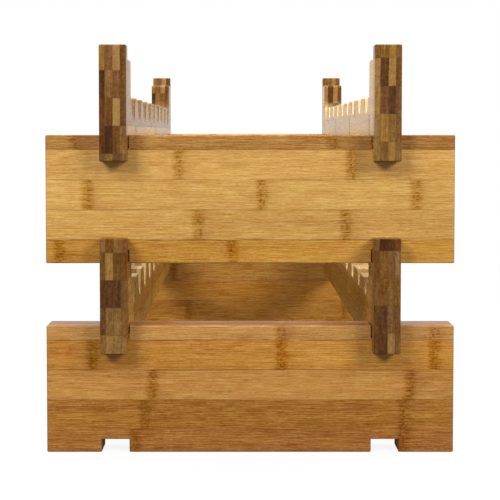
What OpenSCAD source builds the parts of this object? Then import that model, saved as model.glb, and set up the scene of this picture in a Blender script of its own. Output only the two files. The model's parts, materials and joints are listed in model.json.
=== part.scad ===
// Dish drying rack in laminated bamboo: two tiers that stack by hand and come apart flat.
// Four end boards stand across the rack, and four slotted rails run along it.
// Halving notches alone lock the boards: there is no screw, dowel or glue between them.
// X runs across the rack, Y along it and Z up. All sizes are in millimetres.
// The origin is on the worktop, under the middle of the footprint.

/* [End boards] */
// Length of an end board, across the rack
end_length = 274; // [230:1:340]
// Height of an end board
end_height = 86; // [60:1:120]
// Thickness of an end board
end_thickness = 18; // [12:0.5:24]

/* [Rails] */
// Length of a rail, from tip to tip
rail_length = 430; // [320:1:600]
// Height of a rail at its end tabs
rail_height = 77; // [70:1:110]
// Thickness of a rail
rail_thickness = 18; // [12:0.5:24]
// Distance between the middles of the left and right rails
rail_spacing = 181.4; // [140:0.2:200]
// Length of the tab that stands outside an end board
tab_length = 10; // [6:0.5:20]
// Length of shoulder left on a rail behind the end board that it carries
shoulder_margin = 1.5; // [0.5:0.5:8]

/* [Comb] */
// Height of the tooth tips above the rail's lower edge
comb_height = 43.75; // [38:0.25:52]
// Distance from one plate slot to the next
slot_pitch = 42; // [34:0.5:60]
// Radius of a plate slot's round bottom
slot_radius = 9; // [5:0.5:10]
// Slope of a plate slot's flanks, in degrees from upright
flank_angle = 25; // [15:1:30]
// Depth of the plate slots in the left rails
left_slot_depth = 17; // [12:0.5:19]
// Depth of the plate slots in the right rails
right_slot_depth = 10.5; // [8:0.5:19]

/* [Notches] */
// Depth of a halving notch, the same in both boards of a joint
notch_depth = 8.75; // [6:0.25:12]
// Clearance beside a board in its notch, on each side
notch_gap = 0.25; // [0.1:0.05:0.6]

/* [Corners] */
// Radius of a board's outer corners
corner_radius = 1.5; // [0.5:0.25:3]
// Radius of a shoulder's inner corner, above the comb
shoulder_radius = 2.5; // [0.5:0.25:5]

/* [Hidden] */
$fn = 48;

// How far a cut runs past the edge that it opens
cut_margin = 2;

// The two notches of a joint let one board down into the other by their depths together
joint_overlap = 2 * notch_depth;
lower_rail_z = end_height - joint_overlap;
upper_end_z = lower_rail_z + rail_height - joint_overlap;
upper_rail_z = upper_end_z + end_height - joint_overlap;

// Middles of the right rails and of the rear end boards
rail_x = rail_spacing / 2;
end_y = rail_length / 2 - tab_length - end_thickness / 2;

// A notch holds the other board with its clearance on both sides
end_notch_width = rail_thickness + 2 * notch_gap;
rail_notch_width = end_thickness + 2 * notch_gap;

// A rail's top is full height at its two tabs, lower at its shoulders and lowest at its comb
shoulder_height = rail_height - notch_depth;
length_between_tabs = rail_length - 2 * (tab_length - notch_gap);
comb_length = rail_length - 2 * (tab_length + end_thickness + shoulder_margin);

// The comb takes as many slots as fit between its shoulders, spread about its middle
widest_mouth = slot_width(max(left_slot_depth, right_slot_depth));
slot_count = floor((comb_length - widest_mouth) / slot_pitch) + 1;
first_slot_y = -(slot_count - 1) * slot_pitch / 2;

end_colour = [0.80, 0.61, 0.34];
rail_colour = [0.68, 0.47, 0.24];

// Width between a slot's flanks, at a height above the slot's lowest point
function slot_width(height) =
    2 * (slot_radius / cos(flank_angle) + (height - slot_radius) * tan(flank_angle));

// Upright rectangle, centred on the vertical axis
module panel(width, bottom, top) {
    translate([-width / 2, bottom]) square([width, top - bottom]);
}

// Outline of a plain board that stands on the horizontal axis, its corners rounded
module board_outline(length, height) {
    inner_length = length - 2 * corner_radius;
    panel(inner_length, 0, height);
    panel(length, corner_radius, height - corner_radius);
    for (side = [-1, 1], level = [corner_radius, height - corner_radius])
        translate([side * inner_length / 2, level]) circle(corner_radius);
}

// Outline of an end board: two notches below and two above, for the rails
module end_outline() {
    difference() {
        board_outline(end_length, end_height);
        for (side = [-1, 1]) translate([side * rail_x, 0]) {
            panel(end_notch_width, -cut_margin, notch_depth);
            panel(end_notch_width, end_height - notch_depth, end_height + cut_margin);
        }
    }
}

// One plate slot: a round bottom, and two straight flanks that open upwards past the comb
module slot_outline(depth) {
    top = depth + cut_margin;
    flank_start = slot_radius * [cos(flank_angle), -sin(flank_angle)];
    flank_end = [slot_width(top) / 2, top - slot_radius];
    translate([0, comb_height - depth + slot_radius]) {
        circle(slot_radius);
        polygon([
            flank_start, flank_end,
            [-flank_end[0], flank_end[1]], [-flank_start[0], flank_start[1]]
        ]);
    }
}

// What rounding takes off the inner corner of the shoulder at the positive end
module shoulder_corner() {
    translate([comb_length / 2, shoulder_height - shoulder_radius]) difference() {
        translate([-cut_margin, 0]) square(shoulder_radius + cut_margin);
        translate([shoulder_radius, 0]) circle(shoulder_radius);
    }
}

// Outline of a rail, seen from its side
module rail_outline(slot_depth) {
    difference() {
        board_outline(rail_length, rail_height);
        panel(length_between_tabs, shoulder_height, rail_height + cut_margin);
        panel(comb_length, comb_height, shoulder_height + cut_margin);
        shoulder_corner();
        mirror([1, 0]) shoulder_corner();
        for (side = [-1, 1]) translate([side * end_y, 0])
            panel(rail_notch_width, -cut_margin, notch_depth);
        for (i = [0 : slot_count - 1]) translate([first_slot_y + i * slot_pitch, 0])
            slot_outline(slot_depth);
    }
}

// End board with its middle at y, standing on z
module end_board(y, z) {
    color(end_colour) translate([0, y + end_thickness / 2, z]) rotate([90, 0, 0])
        linear_extrude(end_thickness) end_outline();
}

// Rail with its middle at x, its lower edge at z
module rail(x, z, slot_depth) {
    color(rail_colour) translate([x - rail_thickness / 2, 0, z]) rotate([90, 0, 90])
        linear_extrude(rail_thickness) rail_outline(slot_depth);
}

module lower_front_end() { end_board(-end_y, 0); }
module lower_rear_end() { end_board(end_y, 0); }
module lower_left_rail() { rail(-rail_x, lower_rail_z, left_slot_depth); }
module lower_right_rail() { rail(rail_x, lower_rail_z, right_slot_depth); }
module upper_front_end() { end_board(-end_y, upper_end_z); }
module upper_rear_end() { end_board(end_y, upper_end_z); }
module upper_left_rail() { rail(-rail_x, upper_rail_z, left_slot_depth); }
module upper_right_rail() { rail(rail_x, upper_rail_z, right_slot_depth); }

lower_front_end();
lower_rear_end();
lower_left_rail();
lower_right_rail();
upper_front_end();
upper_rear_end();
upper_left_rail();
upper_right_rail();
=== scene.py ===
# %% [markdown]
# # A bamboo dish rack, board by board
#
# This rack is eight flat boards that hook together with halving notches. Four end boards stand
# across it and four combed rails run along it. The plan, the sizes and the places of the boards
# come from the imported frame, so this lesson is about two things: cutting a board whose outline
# follows a rule, and making a material that looks like glued bamboo on every side of the board.

import json
import math
import random
from types import SimpleNamespace

import bmesh
import bpy
from mathutils import Matrix, Vector


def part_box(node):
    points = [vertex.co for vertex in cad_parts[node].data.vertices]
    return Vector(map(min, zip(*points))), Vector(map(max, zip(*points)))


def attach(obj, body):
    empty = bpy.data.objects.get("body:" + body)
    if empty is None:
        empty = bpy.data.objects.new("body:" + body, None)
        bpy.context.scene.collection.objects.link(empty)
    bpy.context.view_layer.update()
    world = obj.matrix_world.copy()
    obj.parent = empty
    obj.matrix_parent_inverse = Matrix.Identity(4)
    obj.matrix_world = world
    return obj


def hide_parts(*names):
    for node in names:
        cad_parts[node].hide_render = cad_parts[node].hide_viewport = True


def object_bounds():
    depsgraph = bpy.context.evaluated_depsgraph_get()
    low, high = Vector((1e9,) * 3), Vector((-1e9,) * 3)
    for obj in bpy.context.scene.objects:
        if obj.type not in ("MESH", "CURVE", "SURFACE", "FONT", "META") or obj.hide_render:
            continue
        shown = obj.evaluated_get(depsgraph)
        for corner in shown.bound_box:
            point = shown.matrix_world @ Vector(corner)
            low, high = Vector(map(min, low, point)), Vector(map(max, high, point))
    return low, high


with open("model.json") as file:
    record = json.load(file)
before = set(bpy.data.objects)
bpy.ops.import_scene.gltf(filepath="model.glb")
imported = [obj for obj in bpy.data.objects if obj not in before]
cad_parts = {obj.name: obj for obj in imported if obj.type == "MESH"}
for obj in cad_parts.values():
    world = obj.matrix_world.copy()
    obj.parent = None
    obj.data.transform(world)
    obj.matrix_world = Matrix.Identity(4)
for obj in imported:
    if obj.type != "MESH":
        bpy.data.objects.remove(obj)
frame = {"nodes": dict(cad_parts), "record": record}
cad_low, cad_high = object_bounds()
MM = 0.001
print("the rack measures", [round(side / MM, 1) for side in cad_high - cad_low], "mm")

# %% [markdown]
# ## Sizes
#
# Most sizes can be read off the frame: the box of one end board and the box of one rail give the
# boards' lengths, heights and thicknesses. Where the two boxes overlap in height they also give
# the depth of the halving notches. Only the comb, its shoulders and the gap beside a board in its
# notch have sizes of their own, so those are named here.

# %% Sizes of the boards
end_low, end_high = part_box("lower_front_end")
rail_low, rail_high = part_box("lower_left_rail")
end_length, end_thickness, end_height = end_high - end_low
rail_thickness, rail_length, rail_height = rail_high - rail_low
rail_x = abs(rail_low.x + rail_high.x) / 2
tab_length = end_low.y - rail_low.y
notch_depth = (end_high.z - rail_low.z) / 2

NOTCH_GAP = 0.25 * MM
SHOULDER_MARGIN = 1.5 * MM
SHOULDER_RADIUS = 2.5 * MM
COMB_HEIGHT = 43.75 * MM
SLOT_PITCH = 42 * MM
SLOT_RADIUS = 9 * MM
FLANK_ANGLE = math.radians(25)
SLOT_DEPTHS = {"left": 17 * MM, "right": 10.5 * MM}
print(f"end boards {end_length / MM:.0f} x {end_height / MM:.0f} x {end_thickness / MM:.0f} mm")
print(f"rails {rail_length / MM:.0f} x {rail_height / MM:.0f} x {rail_thickness / MM:.0f} mm")
print(f"notches {notch_depth / MM:.2f} mm deep, tabs {tab_length / MM:.1f} mm long")

# %% [markdown]
# ## Camera
#
# The rack is seen end on, from about an arm's length away and at the height of its upper end
# boards. An architect's camera keeps upright edges upright by sliding the lens instead of tilting
# the camera. Here most of the framing is such a slide, the camera's shift, and a small tilt does
# the rest, so that views from other sides keep the whole rack in the picture.

# %% Camera
EYE_TO_RAIL_TIPS = 669 * MM
EYE_HEIGHT = 216.1 * MM
EYE_LEFT_OF_MIDDLE = 6.7 * MM
TILT_DOWN = math.radians(2)
FOCAL_LENGTH = 73.2
SLIDE_SIDEWAYS = 0.0196
SLIDE_UP = -0.1653

camera_data = bpy.data.cameras.new("camera")
camera_data.lens = FOCAL_LENGTH
camera_data.sensor_width = 36
camera_data.shift_x = SLIDE_SIDEWAYS
camera_data.shift_y = SLIDE_UP
camera_data.clip_start = 0.01
camera_data.clip_end = 50
camera = bpy.data.objects.new("camera", camera_data)
camera.location = (-EYE_LEFT_OF_MIDDLE, cad_low.y - EYE_TO_RAIL_TIPS, EYE_HEIGHT)
camera.rotation_euler = (math.pi / 2 - TILT_DOWN, 0, 0)
bpy.context.scene.collection.objects.link(camera)
bpy.context.scene.camera = camera
print("the camera stands", [round(c / MM) for c in camera.location], "mm from the origin")

# %% [markdown]
# ## Building with nodes
#
# Shader trees and Geometry Nodes trees share the same Math node, so one small class serves both.
# A `Value` wraps a socket, and ordinary Python arithmetic on it adds the Math nodes. That keeps
# the rules of the outline and of the grain readable as formulas. `add` places a node and feeds
# its inputs, which may be plain numbers, sockets or Values.

# %% Helpers for node trees
def feed(tree, socket, value):
    """Gives a socket its input: a link from a Value or a socket, or else a plain constant."""
    if isinstance(value, Value):
        value = value.socket
    if isinstance(value, bpy.types.NodeSocket):
        tree.links.new(value, socket)
    else:
        socket.default_value = value


def add(tree, kind, feeds=None, **settings):
    """Adds a node, sets its options, then feeds its inputs by name or by number."""
    made = tree.nodes.new(kind)
    for name, setting in settings.items():
        setattr(made, name, setting)
    for name, value in (feeds or {}).items():
        feed(tree, made.inputs[name], value)
    return made


class Value:
    """A number inside a node tree. Arithmetic on it adds Math nodes to that tree."""

    def __init__(self, tree, socket):
        self.tree = tree
        self.socket = socket

    def math(self, operation, *operands):
        """Adds one Math node that works on the operands."""
        made = add(self.tree, "ShaderNodeMath", operation=operation)
        for socket, operand in zip(made.inputs, operands):
            feed(self.tree, socket, operand)
        return Value(self.tree, made.outputs[0])

    def __add__(self, other):
        return self.math("ADD", self, other)

    def __sub__(self, other):
        return self.math("SUBTRACT", self, other)

    def __rsub__(self, other):
        return self.math("SUBTRACT", other, self)

    def __mul__(self, other):
        return self.math("MULTIPLY", self, other)

    def __truediv__(self, other):
        return self.math("DIVIDE", self, other)

    def __neg__(self):
        return self * -1

    __radd__ = __add__

    def floor(self):
        return self.math("FLOOR", self)

    def size(self):
        return self.math("ABSOLUTE", self)

    def least(self, other):
        return self.math("MINIMUM", self, other)

    def most(self, other):
        return self.math("MAXIMUM", self, other)

    def above(self, other):
        return self.math("GREATER_THAN", self, other)

    def ramp(self, low, high, start=0.0, end=1.0):
        """Goes smoothly from start to end while this value goes from low to high."""
        made = add(self.tree, "ShaderNodeMapRange", interpolation_type="SMOOTHSTEP")
        for name, value in (("Value", self), ("From Min", low), ("From Max", high)):
            feed(self.tree, made.inputs[name], value)
        made.inputs["To Min"].default_value = start
        made.inputs["To Max"].default_value = end
        return Value(self.tree, made.outputs[0])

    def fade(self, low, high):
        """Goes smoothly from 1 to 0 while this value goes from low to high."""
        return self.ramp(low, high, 1.0, 0.0)


def vector(tree, x, y, z):
    """Combines three numbers into a vector socket."""
    return add(tree, "ShaderNodeCombineXYZ", {0: x, 1: y, 2: z}).outputs[0]


# %% [markdown]
# ## Cutting a board
#
# A board is an outline with a thickness. The outline follows a rule: straight runs between
# corners, arcs at the bottoms of the slots, and one slot repeated along the comb. So Geometry
# Nodes draws it as edges: the half that lies on the positive side, its mirror image, and the
# repeated slots and tooth tips as instances on evenly spaced points. Merging the ends closes the
# loop, Fill Curve makes it a face and Extrude Mesh gives it the board's thickness. A boolean cut
# would also work, but it leaves slivers beside the round cuts, and eased edges need clean loops.

# %% Helpers for outlines
def new_outline_tree(name, sizes):
    """Starts a Geometry Nodes tree with one named input for each size."""
    tree = bpy.data.node_groups.new(name, "GeometryNodeTree")
    tree.is_modifier = True
    tree.interface.new_socket("Geometry", in_out="OUTPUT", socket_type="NodeSocketGeometry")
    for size in sizes:
        tree.interface.new_socket(size, in_out="INPUT", socket_type="NodeSocketFloat")
    tree.interface.new_socket("Finish", in_out="INPUT", socket_type="NodeSocketMaterial")
    inputs = tree.nodes.new("NodeGroupInput")
    return tree, {size: Value(tree, inputs.outputs[size]) for size in sizes}, inputs


def join(tree, *parts):
    """Joins pieces of geometry."""
    joined = tree.nodes.new("GeometryNodeJoinGeometry")
    for part in parts:
        tree.links.new(part, joined.inputs[0])
    return joined.outputs[0]


def run(tree, points):
    """Draws straight edges from point to point, each an (along, up) pair."""
    line = add(tree, "GeometryNodeMeshLine", {"Count": len(points)})
    choice = add(tree, "GeometryNodeIndexSwitch", data_type="VECTOR")
    while len(choice.index_switch_items) < len(points):
        choice.index_switch_items.new()
    feed(tree, choice.inputs["Index"], tree.nodes.new("GeometryNodeInputIndex").outputs[0])
    for number, (along, up) in enumerate(points):
        feed(tree, choice.inputs[str(number)], vector(tree, along, up, 0.0))
    placed = add(tree, "GeometryNodeSetPosition",
                 {"Geometry": line.outputs[0], "Position": choice.outputs[0]})
    return placed.outputs[0]


def arc(tree, centre, radius, start, sweep, steps):
    """Draws a round stretch as edges."""
    curve = add(tree, "GeometryNodeCurveArc", {"Resolution": steps, "Radius": radius,
                "Start Angle": start, "Sweep Angle": sweep}, mode="RADIUS")
    edges = add(tree, "GeometryNodeCurveToMesh", {"Curve": curve.outputs[0]})
    moved = add(tree, "GeometryNodeTransform", {"Geometry": edges.outputs[0],
                "Translation": vector(tree, *centre, 0.0)})
    return moved.outputs[0]


def repeat(tree, part, count, first, pitch):
    """Repeats a part along the board, from the place of the first, and makes it real edges."""
    points = add(tree, "GeometryNodeMeshLine", {"Count": count,
                 "Start Location": vector(tree, first, 0.0, 0.0),
                 "Offset": vector(tree, pitch, 0.0, 0.0)})
    copies = add(tree, "GeometryNodeInstanceOnPoints",
                 {"Points": points.outputs[0], "Instance": part})
    return add(tree, "GeometryNodeRealizeInstances", {"Geometry": copies.outputs[0]}).outputs[0]


def mirrored(tree, part):
    """The same edges on the other side of the middle."""
    flipped = add(tree, "GeometryNodeTransform", {"Geometry": part, "Scale": (-1, 1, 1)})
    return flipped.outputs[0]


def finish_board(tree, inputs, edges, thickness):
    """Closes the outline, fills it and gives it its thickness and its material."""
    close = 0.005 * MM
    loop = add(tree, "GeometryNodeMergeByDistance", {"Geometry": edges, "Distance": close})
    curve = add(tree, "GeometryNodeMeshToCurve", {"Mesh": loop.outputs[0]})
    fill = add(tree, "GeometryNodeFillCurve", {"Curve": curve.outputs[0]}, mode="NGONS")
    walls = add(tree, "GeometryNodeExtrudeMesh", {"Mesh": fill.outputs[0],
                "Offset": (0, 0, 1), "Offset Scale": thickness, "Individual": False})
    back = add(tree, "GeometryNodeFlipFaces", {"Mesh": fill.outputs[0]})
    solid = add(tree, "GeometryNodeMergeByDistance",
                {"Geometry": join(tree, walls.outputs[0], back.outputs[0]), "Distance": close})
    real = add(tree, "GeometryNodeRealizeInstances", {"Geometry": solid.outputs[0]})
    finished = add(tree, "GeometryNodeSetMaterial",
                   {"Geometry": real.outputs[0], "Material": inputs.outputs["Finish"]})
    output = tree.nodes.new("NodeGroupOutput")
    tree.links.new(finished.outputs[0], output.inputs[0])
    return tree


# %% [markdown]
# ### The end board
#
# Starting at the middle of the lower edge, the half outline steps up into the lower notch, goes
# round the end of the board, steps down into the upper notch and stops at the middle of the top.

# %% Tree of an end board
END_SIZES = ("Length", "Height", "Thickness", "Notch place", "Notch width", "Notch depth")


def end_board_tree():
    """Draws the outline of an end board from its sizes."""
    tree, size, inputs = new_outline_tree("end board", END_SIZES)
    tip = size["Length"] / 2
    near = size["Notch place"] - size["Notch width"] / 2
    far = size["Notch place"] + size["Notch width"] / 2
    top = size["Height"]
    floor = size["Notch depth"]
    roof = top - floor
    half = run(tree, [
        (0.0, 0.0), (near, 0.0), (near, floor), (far, floor), (far, 0.0), (tip, 0.0),
        (tip, top), (far, top), (far, roof), (near, roof), (near, top), (0.0, top),
    ])
    edges = join(tree, half, mirrored(tree, half))
    return finish_board(tree, inputs, edges, size["Thickness"])


end_tree = end_board_tree()
print(f"the end board's tree has {len(end_tree.nodes)} nodes and takes {len(END_SIZES)} sizes")

# %% [markdown]
# ### The combed rail
#
# The rail's underside is straight with two notches. Its top steps down from the tab to the
# shoulder that carries the next end board, and from there into the comb. Each slot of the comb
# has a round bottom whose arc runs into two straight flanks, so the flanks touch the arc where
# their slopes agree. How many slots there are follows from the comb's length.

# %% Tree of a rail
RAIL_SIZES = (
    "Length", "Height", "Thickness", "Tab", "Board carried", "Gap", "Margin", "Notch depth",
    "Corner radius", "Comb height", "Slot pitch", "Slot radius", "Slot depth", "Widest depth",
)
SLOT_STEPS = 15
CORNER_STEPS = 6


def rail_tree(flank_angle):
    """Draws the outline of a combed rail from its sizes."""
    tree, size, inputs = new_outline_tree("combed rail", RAIL_SIZES)
    tip = size["Length"] / 2
    tab = tip - size["Tab"] + size["Gap"]
    comb_end = tip - size["Tab"] - size["Board carried"] - size["Margin"]
    notch_in = tip - size["Tab"] - size["Board carried"] - size["Gap"]
    top = size["Height"]
    shoulder = top - size["Notch depth"]
    comb = size["Comb height"]
    corner = size["Corner radius"]
    radius = size["Slot radius"]

    def half_mouth(depth):
        return radius / math.cos(flank_angle) + (depth - radius) * math.tan(flank_angle)

    steps = ((comb_end - half_mouth(size["Widest depth"])) * 2 / size["Slot pitch"]).floor()
    last = steps * size["Slot pitch"] / 2
    mouth = half_mouth(size["Slot depth"])
    middle = comb - size["Slot depth"] + radius
    touch = (radius * math.cos(flank_angle), middle - radius * math.sin(flank_angle))

    half = run(tree, [
        (0.0, 0.0), (notch_in, 0.0), (notch_in, size["Notch depth"]),
        (tab, size["Notch depth"]), (tab, 0.0), (tip, 0.0),
        (tip, top), (tab, top), (tab, shoulder), (comb_end + corner, shoulder),
    ])
    rounding = arc(tree, (comb_end + corner, shoulder - corner), corner,
                   math.pi / 2, math.pi / 2, CORNER_STEPS)
    drop = run(tree, [(comb_end, shoulder - corner), (comb_end, comb), (last + mouth, comb)])
    flank = run(tree, [(mouth, comb), touch])
    bottom = arc(tree, (0.0, middle), radius, flank_angle - math.pi,
                 math.pi - 2 * flank_angle, SLOT_STEPS)
    slot = join(tree, flank, bottom, mirrored(tree, flank))
    tooth = run(tree, [(mouth, comb), (size["Slot pitch"] - mouth, comb)])
    edges = join(
        tree, half, rounding, drop, mirrored(tree, half), mirrored(tree, rounding),
        mirrored(tree, drop),
        repeat(tree, slot, steps + 1, -last, size["Slot pitch"]),
        repeat(tree, tooth, steps, -last, size["Slot pitch"]),
    )
    return finish_board(tree, inputs, edges, size["Thickness"])


combed_tree = rail_tree(FLANK_ANGLE)
print(f"the rail's tree has {len(combed_tree.nodes)} nodes and takes {len(RAIL_SIZES)} sizes")

# %% [markdown]
# ### From nodes to a sanded board
#
# The tree is put on an empty mesh as a modifier, its inputs are set by identifier, and the
# evaluated result is copied into a plain mesh. The board comes off the saw with hard edges. A
# maker runs sandpaper over every outer edge, so the outer edges are bevelled next, and the inner
# corners of the notches stay square as the saw left them. Each new strip is marked, for the
# material to lighten, and weighted normals keep the wide faces flat beside the round strips.

# %% Helpers that cut, place and sand a board
SANDED = 0.9 * MM
SANDED_STEPS = 3
SHARP = math.radians(38)
MARK = "sanded_edge"
print(f"edges are eased by {SANDED / MM:.1f} mm in {SANDED_STEPS} strips")


def cut_board(name, tree, sizes, finish, place):
    """Runs a board's tree and returns the board as a plain mesh object, turned into place."""
    board = bpy.data.objects.new(name, bpy.data.meshes.new(name))
    bpy.context.scene.collection.objects.link(board)
    cutter = board.modifiers.new("cutter", "NODES")
    cutter.node_group = tree
    for socket in tree.interface.items_tree:
        if socket.in_out == "INPUT":
            cutter[socket.identifier] = sizes.get(socket.name, finish)
    view = bpy.context.evaluated_depsgraph_get()
    cut = bpy.data.meshes.new_from_object(board.evaluated_get(view), depsgraph=view)
    board.modifiers.clear()
    cut.transform(place)
    cut.materials.clear()
    cut.materials.append(finish)
    board.data = cut
    return board


def sand_edges(board):
    """Eases every outer edge, marks the eased strips and leaves inner corners square."""
    solid = bmesh.new()
    solid.from_mesh(board.data)
    bmesh.ops.recalc_face_normals(solid, faces=solid.faces)
    outer = [e for e in solid.edges if e.calc_face_angle_signed(0.0) > SHARP]
    eased = bmesh.ops.bevel(solid, geom=outer, offset=SANDED, offset_type="OFFSET",
                            segments=SANDED_STEPS, profile=0.5, affect="EDGES",
                            clamp_overlap=True, material=-1)
    strips = set(eased["faces"])
    mark = solid.verts.layers.float.new(MARK)
    for vert in solid.verts:
        vert[mark] = float(all(face in strips for face in vert.link_faces))
    for face in solid.faces:
        face.smooth = True
    for edge in solid.edges:
        edge.smooth = edge.calc_face_angle_signed(0.0) > -SHARP
    solid.to_mesh(board.data)
    solid.free()


def weight_normals(board):
    """Gives the wide faces the say over the normals at their borders."""
    board.modifiers.new("normals", "WEIGHTED_NORMAL").keep_sharp = True
    view = bpy.context.evaluated_depsgraph_get()
    board_mesh = bpy.data.meshes.new_from_object(board.evaluated_get(view), depsgraph=view)
    board.modifiers.clear()
    board.data = board_mesh


def volume(mesh):
    """The volume that a mesh encloses, in cubic millimetres."""
    solid = bmesh.new()
    solid.from_mesh(mesh)
    held = solid.calc_volume() / MM**3
    solid.free()
    return held


# %% [markdown]
# ## Bamboo
#
# A bamboo board is glued from flat slats: several side by side make its height and several plies
# make its thickness. Each slat has its own shade. Along its sides run fine fibres, crossed every
# hand's width or so by a knuckle, the darker speckled band where the cane had a joint. On its cut
# end are the ends of the fibres, much darker, so the ends of a rail look like a chequerboard.
# A picture wrapped round the board could not keep all of that in line, so the material works in
# the board's own space: it finds which slat a point is in, and draws that slat's fibres, knuckles
# and end grain there.
#
# Shades are written as digits from 0, dark, to 9, light. A board has one word for each slat of
# its height, from the top down, with one digit for each ply, from the front or from the left.

# %% Slats of each board
PLY_JOINTS = (3.8, 9.1, 14.0)
PLIES = len(PLY_JOINTS) + 1
STAVES = 5
STAVE_HEIGHTS = {"end": 20.15, "rail": 18.3}
LIGHTEST = 9
DRAWN_SHADES = "2345678"
DRAWN_JOINTS = (6, 15)

# board: (height of its lowest joint in mm, shades of its slats)
STOCK = {
    "upper_front_end": (15.7, "3374 7648 7563 6374 5465"),
    # the lower front board's top row has dark inner plies, which paint shade on its top face
    "lower_front_end": (15.7, "5333 5364 5637 3453 3634"),
    "lower_rear_end": (18.1, "5436 3543 4625 3454 3345"),
    "upper_left_rail": (5.2, "7593 1654 3493 2046 4645"),
    "upper_right_rail": (13.1, "5685 8284 8425 7865 7586"),
    "lower_left_rail": (12.8, "6465 4844 2225 3665 6877"),
    "lower_right_rail": (14.1, "4013 4556 5555 3254 3284"),
}


def slats_of(node, seed):
    """The board's lowest joint, and a shade from 0 to 1 for each slat, lowest row first."""
    draw = random.Random(seed)
    drawn = ["".join(draw.choice(DRAWN_SHADES) for _ in range(PLIES)) for _ in range(STAVES)]
    drawn_joint = round(draw.uniform(*DRAWN_JOINTS), 1)
    joint, words = STOCK.get(node, (drawn_joint, " ".join(drawn)))
    rows = list(reversed(words.split()))
    return joint, [[int(digit) / LIGHTEST for digit in row] for row in rows]


print(f"a board has {STAVES} rows of {PLIES} slats, and {len(STOCK)} boards have chosen shades")

# %% Knuckles of the slats in front, in mm from the middle of the board, top row first
KNUCKLES = {
    "upper_front_end": ((-117, 55), (-48, 68), (-109, 8, 111), (-35, 64), (-128, -12)),
    "lower_front_end": ((21, 124), (-106, 21, 124), (-66, 107), (-71, 104), (-78, 103)),
    "lower_rear_end": ((-112, 18), (-76, 95), (-126, 108), (-61.5, 104), (-98, 88)),
}
MOST_KNUCKLES = 3
# a place far beyond the board, which lies between 0 and 1, for a row that has fewer knuckles
NO_KNUCKLE = 9
print("knuckles placed by hand:", sum(len(row) for rows in KNUCKLES.values() for row in rows))

# %% [markdown]
# ### Looking things up in a shader
#
# A Color Ramp with constant steps is a small table that a shader can read: step number n holds
# the value for slat number n. One ramp holds the shades of all the slats. Another holds, for each
# slat of a front board, up to three places of knuckles, one in each colour channel. Chance comes
# from White Noise, which throws the same dice for the same slat every time. Where a seed or a
# piece of luck is multiplied, that only keeps one pattern's chance apart from another's.

# %% Helpers of the material
def noise(tree, x, y, z, detail=2.0, roughness=0.5):
    """Smooth noise around a half, at a place given by three numbers."""
    made = add(tree, "ShaderNodeTexNoise", {"Vector": vector(tree, x, y, z), "Scale": 1.0,
               "Detail": detail, "Roughness": roughness})
    return Value(tree, made.outputs["Fac"])


def swing(pattern, share):
    """Turns a pattern around a half into a change up and down, as wide as its share."""
    return (pattern - 0.5) * share


def channels(tree, colour):
    """The three channels of a colour, as Values."""
    apart = add(tree, "ShaderNodeSeparateColor", {"Color": colour})
    return [Value(tree, output) for output in apart.outputs]


def dice(tree, x, y, z):
    """Three random numbers from 0 to 1 that depend on three whole numbers."""
    made = add(tree, "ShaderNodeTexWhiteNoise", {"Vector": vector(tree, x, y, z)},
               noise_dimensions="3D")
    return channels(tree, made.outputs["Color"])


def table(tree, number, rows):
    """Reads row number of a table: each row is a colour's three channels."""
    made = add(tree, "ShaderNodeValToRGB", {"Fac": (number + 0.5) / len(rows)})
    made.color_ramp.interpolation = "CONSTANT"
    steps = made.color_ramp.elements
    while len(steps) < len(rows):
        steps.new(1.0)
    for place, (step, row) in enumerate(zip(steps, rows)):
        step.position = place / len(rows)
        step.color = (*row, 1.0)
    return channels(tree, made.outputs["Color"])


def blend_stops(tree, number, stops):
    """A colour that goes through the given stops as the number goes from 0 to 1."""
    made = add(tree, "ShaderNodeValToRGB", {"Fac": number})
    steps = made.color_ramp.elements
    while len(steps) < len(stops):
        steps.new(1.0)
    for place, (step, colour) in enumerate(zip(steps, stops)):
        step.position = place / (len(stops) - 1)
        step.color = (*colour, 1.0)
    return made.outputs["Color"]


# %% [markdown]
# ### Where a point is
#
# The finish is measured in millimetres in the board's own directions: along the grain, up the
# board's height and deep through its plies. It could be laid out with a UV map for each side, but
# Object coordinates reach every side and the inside of every notch with one rule, and they stay
# with the board when it is lifted. The way the surface faces tells wide sides, narrow sides and
# cut ends apart, and fades from one to the next round an eased edge.

# %% A point's place in its board
# kind of board: (axis along its grain, axis through its plies)
AXES = {"end": (0, 1), "rail": (1, 0)}
# how squarely a surface has to face an axis, to count a little and to count fully
SQUARE_TO_AXIS = (0.3, 0.8)
SQUARE_TO_UP = (0.5, 0.9)


def point_in_board(tree, node, kind):
    """A point's distances along, up and through its board, and how its surface faces."""
    along_axis, ply_axis = AXES[kind]
    low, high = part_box(node)
    shift = [0, 0, -low.z / MM]
    shift[ply_axis] = -low[ply_axis] / MM
    coords = add(tree, "ShaderNodeTexCoord")
    placed = add(tree, "ShaderNodeMapping", {"Vector": coords.outputs["Object"],
                 "Location": shift, "Scale": (1 / MM, 1 / MM, 1 / MM)})
    apart = add(tree, "ShaderNodeSeparateXYZ", {0: placed.outputs[0]})
    distances = [Value(tree, output) for output in apart.outputs]
    apart = add(tree, "ShaderNodeSeparateXYZ", {0: coords.outputs["Normal"]})
    facings = [Value(tree, output).size() for output in apart.outputs]
    return SimpleNamespace(
        along=distances[along_axis], deep=distances[ply_axis], up=distances[2],
        half_length=high[along_axis] / MM,
        cut_end=facings[along_axis].ramp(*SQUARE_TO_AXIS),
        not_wide=facings[ply_axis].fade(*SQUARE_TO_AXIS),
        # faces that look up or down, which get painted shade
        narrow=facings[2].ramp(*SQUARE_TO_UP),
    )


# %% [markdown]
# ### Which slat it is in
#
# Dividing the height by a slat's height and rounding down numbers the slats. The plies are glued
# less neatly, so a slow noise bends their joints a little. Each slat reads its shade from the
# board's table and throws three random numbers, its luck, which set its fibres and knuckles
# apart from its neighbours'.

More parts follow.
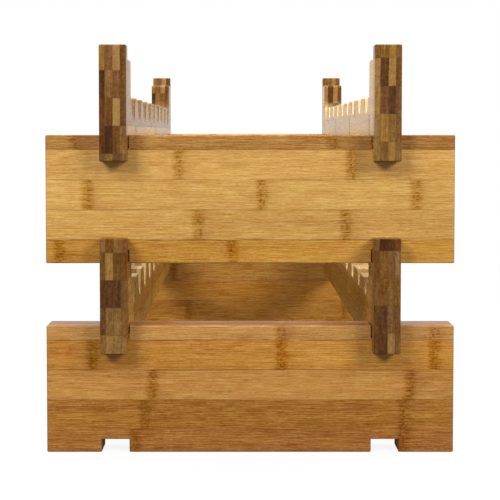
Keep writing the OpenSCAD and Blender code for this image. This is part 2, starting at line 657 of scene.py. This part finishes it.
# %% A point's slat
PLY_WAVE = 1.2
WAVES_ALONG = 0.006
WAVES_UP = 0.05
BOARD_APART = 7
print(f"plies are glued {PLY_JOINTS} mm deep, and the joints wander by {PLY_WAVE / 2} mm")


def slat_at(tree, point, kind, joint, shades, seed):
    """The slat that a point is in: its row and ply, its shade and its luck."""
    level = (point.up - joint) / STAVE_HEIGHTS[kind] + 1
    stave = level.floor().most(0.0).least(STAVES - 1.0)
    bend = noise(tree, point.along * WAVES_ALONG, point.up * WAVES_UP, seed * BOARD_APART)
    depth = point.deep + swing(bend, PLY_WAVE)
    ply = sum((depth.above(place) for place in PLY_JOINTS[1:]), depth.above(PLY_JOINTS[0]))
    rows = [(row[number], 0.0, 0.0) for number in range(PLIES) for row in shades]
    shade = table(tree, ply * STAVES + stave, rows)[0]
    return SimpleNamespace(level=level, stave=stave, depth=depth, ply=ply, shade=shade,
                           luck=dice(tree, stave, ply, seed))


# %% [markdown]
# ### Fibres
#
# Fibres are noise drawn out along the grain, each slat's from a place of its own, so that they
# stop at the glue lines. Bamboo shows fibres of every length at once. One noise with more detail
# can't give that, because each finer layer is also thinner, until it is too thin to see. So four
# noises of much the same width are laid over each other: streaks as long as a finger, threads,
# hairs and specks. Broad bands and a mottle of tone lie under them, and pores between. All are
# drawn in three dimensions, so a fibre carries on over the edge onto the next side.

# %% Fibres of a slat
FAR_APART = 60
SWAY = 2.5
SWAY_LENGTH = 110
PORE_LEVELS = (0.66, 0.74)
print(f"fibres sway by {SWAY / 2} mm along {SWAY_LENGTH} mm of a slat")


def fibres_at(tree, point, luck):
    """The patterns of a slat's fibres at a point, each around a half, and its pores."""
    one, two, three = (number * FAR_APART for number in luck)
    sway = noise(tree, point.along / SWAY_LENGTH, luck[0] * 37, luck[1] * 11)
    across = point.up + swing(sway, SWAY)

    def pattern(length, width, start, side, detail=2.0, roughness=0.5):
        """Noise with a length and a width in mm, from its own start along and across the grain."""
        return noise(tree, point.along / length + start, across / width + side,
                     point.deep / width, detail, roughness)

    return SimpleNamespace(
        bands=pattern(143, 7.7, three, one),
        mottle=pattern(20, 7.7, one, two),
        streaks=pattern(71, 0.9, one, two, 3.0, 0.65),
        threads=pattern(20, 0.6, three, one, 1.0),
        hairs=pattern(6.7, 0.43, two, three, 1.0),
        specks=pattern(2.2, 0.53, two, one, 0.0),
        pores=pattern(6.2, 0.55, three, two).ramp(*PORE_LEVELS),
    )


# %% [markdown]
# ### Knuckles
#
# Knuckles come at a regular spacing along a slat, with a start of its own. On the boards whose
# faces are seen first, the front slats have their knuckles at chosen places instead. A knuckle is
# a brown core with darker flecks in it, and a shade beside it that trails off further on one
# side, because the cane's wall thickens towards a joint. Knuckles differ in strength, are worn
# away in patches and hardly show on a dark slat. The stretch of cane between two knuckles keeps
# a tone of its own.

# %% Distance to the nearest knuckle
SHORTEST_CANE = 120
LONGEST_CANE = 180
print(f"knuckles come every {SHORTEST_CANE} to {LONGEST_CANE} mm")


def nearest(one, other):
    """Whichever of two distances is the smaller, with its sign."""
    take_other = one.size().above(other.size())
    return one + take_other * (other - one)


def knuckle_gap(tree, node, point, slat):
    """How far the nearest knuckle is along the grain, in mm, and which stretch of cane this is."""
    spacing = slat.luck[1] * (LONGEST_CANE - SHORTEST_CANE) + SHORTEST_CANE
    place = point.along / spacing + slat.luck[2] * 7
    stretch = place.floor()
    gap = (place - stretch - 0.5) * spacing
    if node not in KNUCKLES:
        return gap, stretch

    half = point.half_length
    rows = [[(where / half + 1) / 2 for where in row] for row in reversed(KNUCKLES[node])]
    rows = [row + [NO_KNUCKLE] * (MOST_KNUCKLES - len(row)) for row in rows]
    gaps = [point.along - (where * 2 - 1) * half for where in table(tree, slat.stave, rows)]
    chosen_gap = nearest(gaps[2], nearest(gaps[1], gaps[0]))
    chosen_stretch = sum(each.above(0.0) for each in gaps)
    behind = slat.ply.least(1.0)
    gap = behind * (gap - chosen_gap) + chosen_gap
    stretch = behind * (stretch - chosen_stretch) + chosen_stretch
    return gap, stretch


# %% Look of a knuckle
# in mm from the middle of a knuckle: where a part of it is full, and where it has faded out
CORE_REACH = (0.8, 6.0)
HALO_REACH = (1.0, 9.0)
HALO_LEAN = 0.35
CROOKED = 6
CROOKS_PER_MM = 0.16
WEAKEST_KNUCKLE = 0.7
STRONGEST_KNUCKLE = 1.3
# how much of a knuckle a slat shows: its shade times the first number, less the second
VISIBLE = (1.4, 0.04)
WORN_PER_MM = 0.3
WORN_LEVELS = (0.3, 0.6)
MOST_WORN = 0.3
FLECKS_ALONG = 0.5
FLECKS_ACROSS = 0.85
FLECK_LEVELS = (0.47, 0.60)
print(f"a knuckle is {2 * CORE_REACH[1]:.0f} mm wide and bends {CROOKED / 2:.0f} mm either way")


def knuckle_at(tree, node, point, slat, seed):
    """How much of a knuckle's core, shade and flecks a point has, and the tone of its stretch."""
    gap, stretch = knuckle_gap(tree, node, point, slat)
    which = stretch * 5 + slat.luck[0] * FAR_APART
    crooked = noise(tree, point.up * CROOKS_PER_MM, point.deep * CROOKS_PER_MM, which,
                    detail=4.0, roughness=0.6)
    gap = gap + swing(crooked, CROOKED)
    patches = noise(tree, point.up * WORN_PER_MM, point.deep * WORN_PER_MM, which + 3)
    worn = patches.ramp(*WORN_LEVELS, MOST_WORN, 1.0)
    flecks = noise(tree, point.along * FLECKS_ALONG, point.up * FLECKS_ACROSS,
                   point.deep * FLECKS_ACROSS, detail=1.5)
    tone, chance, _ = dice(tree, slat.stave, slat.ply, stretch + seed * 10)
    strength = chance * (STRONGEST_KNUCKLE - WEAKEST_KNUCKLE) + WEAKEST_KNUCKLE
    visible = slat.shade * VISIBLE[0] - VISIBLE[1]
    core = gap.size().fade(*CORE_REACH)
    return SimpleNamespace(
        core=core * worn * strength * visible,
        halo=(gap.size() - gap * HALO_LEAN).fade(*HALO_REACH) * visible,
        flecks=flecks.ramp(*FLECK_LEVELS) * core,
        tone=tone,
    )


# %% [markdown]
# ### Glue lines
#
# Between two slats runs a thin brown line of glue. It comes and goes along the joint, and some
# joints are so well made that it hardly shows, so its strength is thrown for each joint and then
# faded by a slow noise. Between plies the line is fainter.

# %% Glue between the slats
# in mm from a joint: where its glue is full, and where it has faded out
STAVE_GLUE_REACH = (0.12, 0.55)
PLY_GLUE_REACH = (0.1, 0.5)
PLY_GLUE = 0.4
LEAST_GLUE = 0.25
GLUE_LEVELS = (0.35, 0.6)
GLUE_CHANGES_PER_MM = 0.03
RAGGED = 0.8
print(f"a glue line is {2 * STAVE_GLUE_REACH[1]:.1f} mm wide where it shows most")


def glue_at(tree, point, slat, streaks, kind, seed):
    """How much a point is darkened by the glue of a joint."""
    joint_number = (slat.level + 0.5).floor()
    near_stave = (slat.level - joint_number).size() * STAVE_HEIGHTS[kind]
    near_stave = near_stave + swing(streaks, RAGGED)
    strength = dice(tree, joint_number, seed, 3.0)[0] * (1 - LEAST_GLUE) + LEAST_GLUE
    comes_and_goes = noise(tree, point.along * GLUE_CHANGES_PER_MM, slat.level.floor() * 3, seed)
    strength = strength * comes_and_goes.ramp(*GLUE_LEVELS)
    near_ply = (slat.depth - PLY_JOINTS[0]).size()
    for place in PLY_JOINTS[1:]:
        near_ply = near_ply.least((slat.depth - place).size())
    stave_glue = near_stave.fade(*STAVE_GLUE_REACH) * strength
    return stave_glue.most(near_ply.fade(*PLY_GLUE_REACH) * PLY_GLUE)


# %% [markdown]
# ### Cut ends, and bare slots with painted light
#
# On a cut end the fibres are seen from their tips: dark dots in layers, which crowd towards the
# outside of the cane. Oil soaks in there, so a cut end is far darker and rougher than a side.
# The comb is the exception. Its slots are cut and sanded after the boards are oiled, so their
# walls are bare, and they are painted paler still for the light that falls into them: painted
# light. It fades out towards the top of the wall at the comb's end, which is dark end grain again.

# %% End grain, and bare slots with painted light
COMB_TOP = COMB_HEIGHT / MM
COMB_FLOOR = COMB_TOP - max(SLOT_DEPTHS.values()) / MM
COMB_END = (rail_length / 2 - tab_length - end_thickness - SHOULDER_MARGIN) / MM
# in mm: where the painted light of the bare slots starts, fades out above the comb and ends
BARE_AND_LIT_STARTS = (COMB_FLOOR - 4, COMB_FLOOR - 1)
BARE_AND_LIT_TOP = (COMB_TOP, COMB_TOP + 10)
BARE_AND_LIT_ENDS = (COMB_END + 0.5, COMB_END + 2.5)
DOTS_PER_MM = 1.15
DOT_REACH = (0.16, 0.44)
print(f"bare wood starts {BARE_AND_LIT_STARTS[0]:.1f} mm up and ends {BARE_AND_LIT_ENDS[1]:.0f} mm from the middle")


def end_grain_at(tree, point, luck):
    """The dots, layers and stains of a cut end, from distances times their waves per mm."""
    along, up, deep = point.along, point.up, point.deep
    place = vector(tree, along * 0.02, up * DOTS_PER_MM, deep * DOTS_PER_MM)
    cells = add(tree, "ShaderNodeTexVoronoi", {"Vector": place, "Scale": 1.0, "Randomness": 0.9})
    return SimpleNamespace(
        dots=Value(tree, cells.outputs["Distance"]).fade(*DOT_REACH),
        layers=noise(tree, luck[0] * FAR_APART, up * 0.06, deep * 0.8),
        stains=noise(tree, along * 0.05 + luck[1] * FAR_APART, up * 0.35, deep * 0.5),
    )


def bare_cut_at(point, kind):
    """How far a point is a bare slot wall with painted light: 1 in a comb's slots, 0 on every oiled
    face.
    """
    if kind != "rail":
        return 0.0
    above_floor = point.up.ramp(*BARE_AND_LIT_STARTS)
    below_top = point.up.fade(*BARE_AND_LIT_TOP)
    inside_ends = point.along.size().fade(*BARE_AND_LIT_ENDS)
    return point.not_wide * above_floor * below_top * inside_ends


# %% [markdown]
# ### One shade from every pattern
#
# Every pattern nudges one number, the shade, whose whole range is 1. The nudges of the four fibre
# noises together are the grain. Faces that look up or down, the narrow sides of the slats, get
# painted shade. The rails come from a darker batch than the end boards, which is partly painted
# shade on their sides, and painted shade darkens them more towards their tips. How much painted
# light the bare slots get differs from rail to rail.

# %% What each pattern does to the shade
GRAIN_SHARES = {"streaks": 0.45, "threads": 0.78, "hairs": 0.65, "specks": 0.32}
GRAIN_STRENGTH = {"end": 1.0, "rail": 0.75}
TONE_SHARES = {"bands": 0.35, "mottle": 0.2}
CANE_SHARE = 0.12
PORES_DARKEN = 0.12
HALO_DARKENS = 0.14
CORE_DARKENS = 0.16
FLECKS_DARKEN = 0.2
FLECKS_DARKEN_BY_LUCK = 0.12
SANDING_LIGHTENS = 0.03
# rails are a darker batch, which is partly painted shade on their sides
BATCH_AND_SHADE_TONE = {"end": 0.0, "rail": -0.25}
# painted shade on the rails towards their tips; its reach in mm from the tip: full, faded out
PAINTED_TIP_SHADE = {"end": 0.0, "rail": -0.4}
PAINTED_TIP_SHADE_REACH = (4, 14)
# painted shade on faces that look up or down, the narrow sides of the slats
PAINTED_SHADE_UP_AND_DOWN = -0.3
TIP_SHARE = 0.5
END_GRAIN_SHARES = {"layers": 0.7, "stains": 0.6}
DOTS_DARKEN = 0.22
BARE_AND_LIT_HIDES_END_GRAIN = 0.8
# rail: (how much lighter its bare slots are painted, as painted light, how much less saturated)
BARE_AND_LIT_LOOKS = {"upper_left_rail": (0.0, 0.12), "upper_right_rail": (0.28, 0.28)}
OTHER_BARE_AND_LIT_LOOK = (0.25, 0.15)
print("the fibres can move the shade by", round(sum(GRAIN_SHARES.values()) / 2, 2), "either way")


def weighed(patterns, shares):
    """The sum of the swings of the named patterns, each as wide as its share."""
    return sum(swing(getattr(patterns, name), share) for name, share in shares.items())


# %% All patterns at a point
def wood_at(tree, node, kind, seed):
    """Where a point is in its board, and every pattern of the finish there."""
    joint, shades = slats_of(node, seed)
    point = point_in_board(tree, node, kind)
    slat = slat_at(tree, point, kind, joint, shades, seed)
    fibres = fibres_at(tree, point, slat.luck)
    bare = bare_cut_at(point, kind)
    return SimpleNamespace(
        slat=slat, fibres=fibres, bare=bare, narrow=point.narrow,
        knuckle=knuckle_at(tree, node, point, slat, seed),
        glue=glue_at(tree, point, slat, fibres.streaks, kind, seed),
        end_grain=end_grain_at(tree, point, slat.luck),
        # the painted light on the bare slots also hides their dark end grain
        cut_end=point.cut_end * (1 - bare * BARE_AND_LIT_HIDES_END_GRAIN),
        # painted shade towards the tips of the rails
        soaked=(point.half_length - point.along.size()).fade(*PAINTED_TIP_SHADE_REACH),
        sanded=Value(tree, add(tree, "ShaderNodeAttribute", attribute_name=MARK).outputs["Fac"]),
        grain=weighed(fibres, GRAIN_SHARES) * GRAIN_STRENGTH[kind],
    )


# %% Shades of a point
def shades_at(wood, node, kind):
    """The shade that a point has on a side of a slat, and the one it has on a cut end."""
    bare_and_lit_tone = BARE_AND_LIT_LOOKS.get(node, OTHER_BARE_AND_LIT_LOOK)[0]
    # bare slots are painted lighter: painted light
    shade = (wood.slat.shade + wood.bare * bare_and_lit_tone + wood.sanded * SANDING_LIGHTENS
             # painted shade on faces that look up or down, but not in the bare slots
             + wood.narrow * (1 - wood.bare) * PAINTED_SHADE_UP_AND_DOWN)
    side = (shade + BATCH_AND_SHADE_TONE[kind] + wood.soaked * PAINTED_TIP_SHADE[kind] + wood.grain
            + weighed(wood.fibres, TONE_SHARES) - wood.fibres.pores * PORES_DARKEN)
    knuckle = wood.knuckle
    fleck_strength = wood.slat.luck[1] * FLECKS_DARKEN_BY_LUCK + FLECKS_DARKEN
    side = (side + swing(knuckle.tone, CANE_SHARE) - knuckle.halo * HALO_DARKENS
            - knuckle.core * CORE_DARKENS - knuckle.flecks * fleck_strength)
    cut = (shade + swing(wood.fibres.hairs, TIP_SHARE)
           + weighed(wood.end_grain, END_GRAIN_SHARES) - wood.end_grain.dots * DOTS_DARKEN)
    return side, cut


# %% [markdown]
# ### From the shade to a colour
#
# The shade picks a colour from a short row of stops, one row for the sides and another for the
# cut ends. That keeps light and dark bamboo in the same family of hues, as sun and oil do. Small
# turns of the hue and of the saturation set slats apart: the rails are a little yellower than the
# end boards, and pale fibres are less saturated than dark ones. The glue goes on last.

# %% Colour of the wood
SIDE_STOPS = ((0.194, 0.064, 0.007), (0.344, 0.138, 0.023), (0.494, 0.236, 0.049),
              (0.618, 0.325, 0.072), (0.762, 0.450, 0.115))
CUT_STOPS = ((0.055, 0.014, 0.001), (0.092, 0.031, 0.003), (0.143, 0.052, 0.007),
             (0.203, 0.087, 0.014), (0.283, 0.141, 0.027), (0.363, 0.197, 0.044))
GLUE_BROWN = (0.10, 0.04, 0.012, 1.0)
GLUE_COVERS = 0.8

# turns of the hue, which a hue node counts from a half
SAME_HUE = 0.5
BATCH_HUE = {"end": 0.0, "rail": 0.01}
BOARD_HUE = {"upper_front_end": 0.002, "lower_front_end": -0.004}
SLAT_HUE = 0.008
MOTTLE_HUE = 0.02
BARE_AND_LIT_HUE = 0.01
KNUCKLE_HUE = 0.003

# changes of the saturation
BOARD_SATURATION = 0.96
SLAT_SATURATION = 0.08
KNUCKLE_SATURATION = 0.06
GRAIN_FADES = 0.18
CUT_END_FADES = 0.035
print(f"the stops hold {len(SIDE_STOPS)} colours of sides and {len(CUT_STOPS)} of cut ends")


def colour_of(tree, wood, node, kind):
    """The colour of a point, with the glue on it."""
    side_shade, cut_shade = shades_at(wood, node, kind)
    colour = add(tree, "ShaderNodeMix", {0: wood.cut_end,
                 6: blend_stops(tree, side_shade, SIDE_STOPS),
                 7: blend_stops(tree, cut_shade, CUT_STOPS)}, data_type="RGBA")
    # bare slots are also painted less saturated and yellower: painted light
    bare_and_lit_fades = BARE_AND_LIT_LOOKS.get(node, OTHER_BARE_AND_LIT_LOOK)[1]
    own_hue = BOARD_HUE.get(node, BATCH_HUE[kind])
    hue = (swing(wood.slat.luck[2], SLAT_HUE) + swing(wood.fibres.mottle, MOTTLE_HUE)
           + wood.bare * BARE_AND_LIT_HUE + (1 - wood.cut_end) * own_hue
           + wood.knuckle.core * KNUCKLE_HUE + SAME_HUE)
    saturation = (wood.slat.luck[0] * SLAT_SATURATION - wood.grain * GRAIN_FADES
                  - wood.bare * bare_and_lit_fades - wood.cut_end * CUT_END_FADES
                  + wood.knuckle.core * KNUCKLE_SATURATION + BOARD_SATURATION)
    tinted = add(tree, "ShaderNodeHueSaturation", {"Color": colour.outputs[2],
                 "Hue": hue, "Saturation": saturation})
    glued = add(tree, "ShaderNodeMix", {0: wood.glue * GLUE_COVERS, 6: tinted.outputs[0],
                7: GLUE_BROWN}, data_type="RGBA")
    return glued.outputs[2]


# %% [markdown]
# ### Sheen and relief
#
# Oiled bamboo has a soft sheen. It is dull where the end grain has drunk the oil, and a little
# duller on sanded edges and in the flecks of a knuckle. The relief is a few hundredths of a
# millimetre: enough to break up the light on the fibres, the dots of a cut end and the glue lines.

# %% Bamboo material
SHEEN = 0.16
ROUGHNESS = 0.27
STREAKS_ROUGHEN = 0.2
END_GRAIN_ROUGHENS = 0.6
FLECKS_ROUGHEN = 0.08
SANDING_ROUGHENS = 0.06
# heights in mm
STREAK_HEIGHT = 0.01
THREAD_HEIGHT = 0.008
PORE_DEPTH = 0.02
FLECK_HEIGHT = 0.02
DOT_DEPTH = 0.05
GLUE_DEPTH = 0.05


def bamboo(node, seed):
    """Makes the material of one board."""
    material = bpy.data.materials.new("bamboo_" + node)
    material.use_nodes = True
    tree = material.node_tree
    tree.nodes.clear()
    kind = "rail" if node.endswith("rail") else "end"
    wood = wood_at(tree, node, kind, seed)
    colour = colour_of(tree, wood, node, kind)

    rough = (swing(wood.fibres.streaks, STREAKS_ROUGHEN) + wood.cut_end * END_GRAIN_ROUGHENS
             + wood.knuckle.flecks * FLECKS_ROUGHEN + wood.sanded * SANDING_ROUGHENS + ROUGHNESS)
    on_sides = (wood.fibres.streaks * STREAK_HEIGHT + wood.fibres.threads * THREAD_HEIGHT
                - wood.fibres.pores * PORE_DEPTH + wood.knuckle.flecks * FLECK_HEIGHT)
    on_cut_ends = wood.end_grain.dots * -DOT_DEPTH
    relief = on_sides + wood.cut_end * (on_cut_ends - on_sides) - wood.glue * GLUE_DEPTH
    bump = add(tree, "ShaderNodeBump", {"Height": relief, "Distance": MM, "Strength": 1.0})
    shader = add(tree, "ShaderNodeBsdfPrincipled", {"Base Color": colour, "Roughness": rough,
                 "Normal": bump.outputs[0], "Specular IOR Level": SHEEN})
    output = add(tree, "ShaderNodeOutputMaterial")
    tree.links.new(shader.outputs[0], output.inputs["Surface"])
    return material


# %% [markdown]
# ## The eight boards
#
# Both trees draw a board with its length along X, its height along Y and its thickness along Z.
# An end board is turned up about X. A rail is turned so that its length lies along Y and its
# thickness along X. The turn is baked into the mesh, so every board's object stays at the
# origin. Each board rides on the body that lifts it, and stands for its node.

# %% Sizes that the trees take
end_sizes = {
    "Length": end_length, "Height": end_height, "Thickness": end_thickness,
    "Notch place": rail_x, "Notch width": rail_thickness + 2 * NOTCH_GAP,
    "Notch depth": notch_depth,
}
rail_sizes = {
    "Length": rail_length, "Height": rail_height, "Thickness": rail_thickness,
    "Tab": tab_length, "Board carried": end_thickness, "Gap": NOTCH_GAP,
    "Margin": SHOULDER_MARGIN, "Notch depth": notch_depth, "Corner radius": SHOULDER_RADIUS,
    "Comb height": COMB_HEIGHT, "Slot pitch": SLOT_PITCH, "Slot radius": SLOT_RADIUS,
    "Widest depth": max(SLOT_DEPTHS.values()),
}
UP_ABOUT_X = Matrix(((1, 0, 0, 0), (0, 0, -1, 0), (0, 1, 0, 0), (0, 0, 0, 1)))
ALONG_Y = Matrix(((0, 0, 1, 0), (1, 0, 0, 0), (0, 1, 0, 0), (0, 0, 0, 1)))


def board_place(node):
    """The turn and move that bring a drawn board to where the frame has it."""
    low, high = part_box(node)
    if node.endswith("rail"):
        return Matrix.Translation((low.x, 0, low.z)) @ ALONG_Y
    return Matrix.Translation((0, high.y, low.z)) @ UP_ABOUT_X


def make_board(node, seed):
    """Makes one board of the rack, sanded and in its place."""
    tree, sizes = end_tree, end_sizes
    if node.endswith("rail"):
        side = "left" if "left" in node else "right"
        tree, sizes = combed_tree, {**rail_sizes, "Slot depth": SLOT_DEPTHS[side]}
    board = cut_board(node + "_board", tree, sizes, bamboo(node, seed), board_place(node))
    sand_edges(board)
    weight_normals(board)
    return board


# %% Make the boards
bodies = frame["record"]["behaviour"]["bodies"]
riders = [(body, node) for body, nodes in bodies.items() for node in nodes]
for seed, (body, node) in enumerate(riders, start=1):
    board = make_board(node, seed)
    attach(board, body)
    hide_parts(node)
    made = volume(board.data)
    kept = made / volume(frame["nodes"][node].data) * 100
    print(f"{board.name}: {len(board.data.polygons)} faces, {made / 1000:.1f} cm3, "
          f"{kept:.2f}% of its solid after sanding")

# %% [markdown]
# ## Room and light
#
# The rack stands on white paper, as for a catalogue. A white room would give plenty of light, but
# it would wash out both the shadows and the colour of the oil. So the paper and the world are
# white only to the eye and in reflections, which the Light Path node can tell, and they give the
# rack little light. Lamps do that, at a plain level: two soft ones in front, left and right of
# the eye, whose light makes the rails' tips throw short shadows on the boards below them, a wide
# one overhead for the insides and the tops, and a weak one high behind for the far sides.

# %% What the eye sees
def seen_by_eye(tree):
    """1 for what is seen straight, in a reflection or through glass, and 0 for what only lights."""
    path = add(tree, "ShaderNodeLightPath")
    seen = Value(tree, path.outputs["Is Camera Ray"])
    for ray in ("Is Glossy Ray", "Is Transmission Ray"):
        seen = seen.most(Value(tree, path.outputs[ray]))
    return seen


# %% Floor
FLOOR_HALF = 6.0
PAPER_GREY = 0.8
PAPER_BOUNCE = 0.12
SHADOW_START, SHADOW_END = 0.2, 0.9
GLOW_NEAR = 0.88

floor_mesh = bpy.data.meshes.new("floor")
floor_mesh.from_pydata([(-FLOOR_HALF, -FLOOR_HALF, 0), (FLOOR_HALF, -FLOOR_HALF, 0),
                        (FLOOR_HALF, FLOOR_HALF, 0), (-FLOOR_HALF, FLOOR_HALF, 0)],
                       [], [(0, 1, 2, 3)])
floor = bpy.data.objects.new("floor", floor_mesh)
bpy.context.scene.collection.objects.link(floor)

paper = bpy.data.materials.new("white_paper")
paper.use_nodes = True
tree = paper.node_tree
tree.nodes.clear()
seen = seen_by_eye(tree)
grey = seen * (PAPER_GREY - PAPER_BOUNCE) + PAPER_BOUNCE
matt = add(tree, "ShaderNodeBsdfDiffuse", {"Color": vector(tree, grey, grey, grey)})
glow = add(tree, "ShaderNodeEmission", {"Color": (1, 1, 1, 1), "Strength": 1.0})
place = add(tree, "ShaderNodeNewGeometry").outputs["Position"]
away = Value(tree, add(tree, "ShaderNodeVectorMath", {0: place}, operation="LENGTH").outputs[1])
share = seen * away.ramp(SHADOW_START, SHADOW_END, GLOW_NEAR, 1.0)
mixed = add(tree, "ShaderNodeMixShader", {0: share, 1: matt.outputs[0], 2: glow.outputs[0]})
tree.links.new(mixed.outputs[0], add(tree, "ShaderNodeOutputMaterial").inputs["Surface"])
floor_mesh.materials.append(paper)
print(f"the paper is {2 * FLOOR_HALF:.0f} m wide, and its shadow fades out at {SHADOW_END} m")

# %% World
WORLD_LIGHT = 0.15

world = bpy.data.worlds.new("studio")
bpy.context.scene.world = world
world.use_nodes = True
tree = world.node_tree
tree.nodes.clear()
sky = add(tree, "ShaderNodeBackground", {"Color": (1, 1, 1, 1),
          "Strength": seen_by_eye(tree) * (1 - WORLD_LIGHT) + WORLD_LIGHT})
tree.links.new(sky.outputs[0], add(tree, "ShaderNodeOutputWorld").inputs["Surface"])
print(f"the world is white to the eye and gives {WORLD_LIGHT:.0%} of that as light")

# %% Lamps
# name: (place, width and depth, power in watts)
LAMPS = {
    "left_softbox": ((-0.77, -0.9, 1.0), (0.6, 0.6), 15.5),
    "right_softbox": ((1.1, -0.95, 0.98), (0.6, 0.6), 20),
    "overhead_softbox": ((0, 0.06, 1.4), (2.4, 0.3), 22),
    "back_softbox": ((0, 1.0, 1.3), (1.6, 0.4), 9),
}
middle = (cad_low + cad_high) / 2
for name, (place, size, power) in LAMPS.items():
    light = bpy.data.lights.new(name, "AREA")
    light.shape = "RECTANGLE"
    light.size, light.size_y = size
    light.energy = power
    lamp = bpy.data.objects.new(name, light)
    lamp.location = place
    lamp.rotation_euler = (middle - Vector(place)).to_track_quat("-Z", "Y").to_euler()
    bpy.context.scene.collection.objects.link(lamp)
    print(f"{name}: {power} W from {(middle - Vector(place)).length:.1f} m")

# %% Finish
bpy.context.scene.view_settings.view_transform = "Standard"
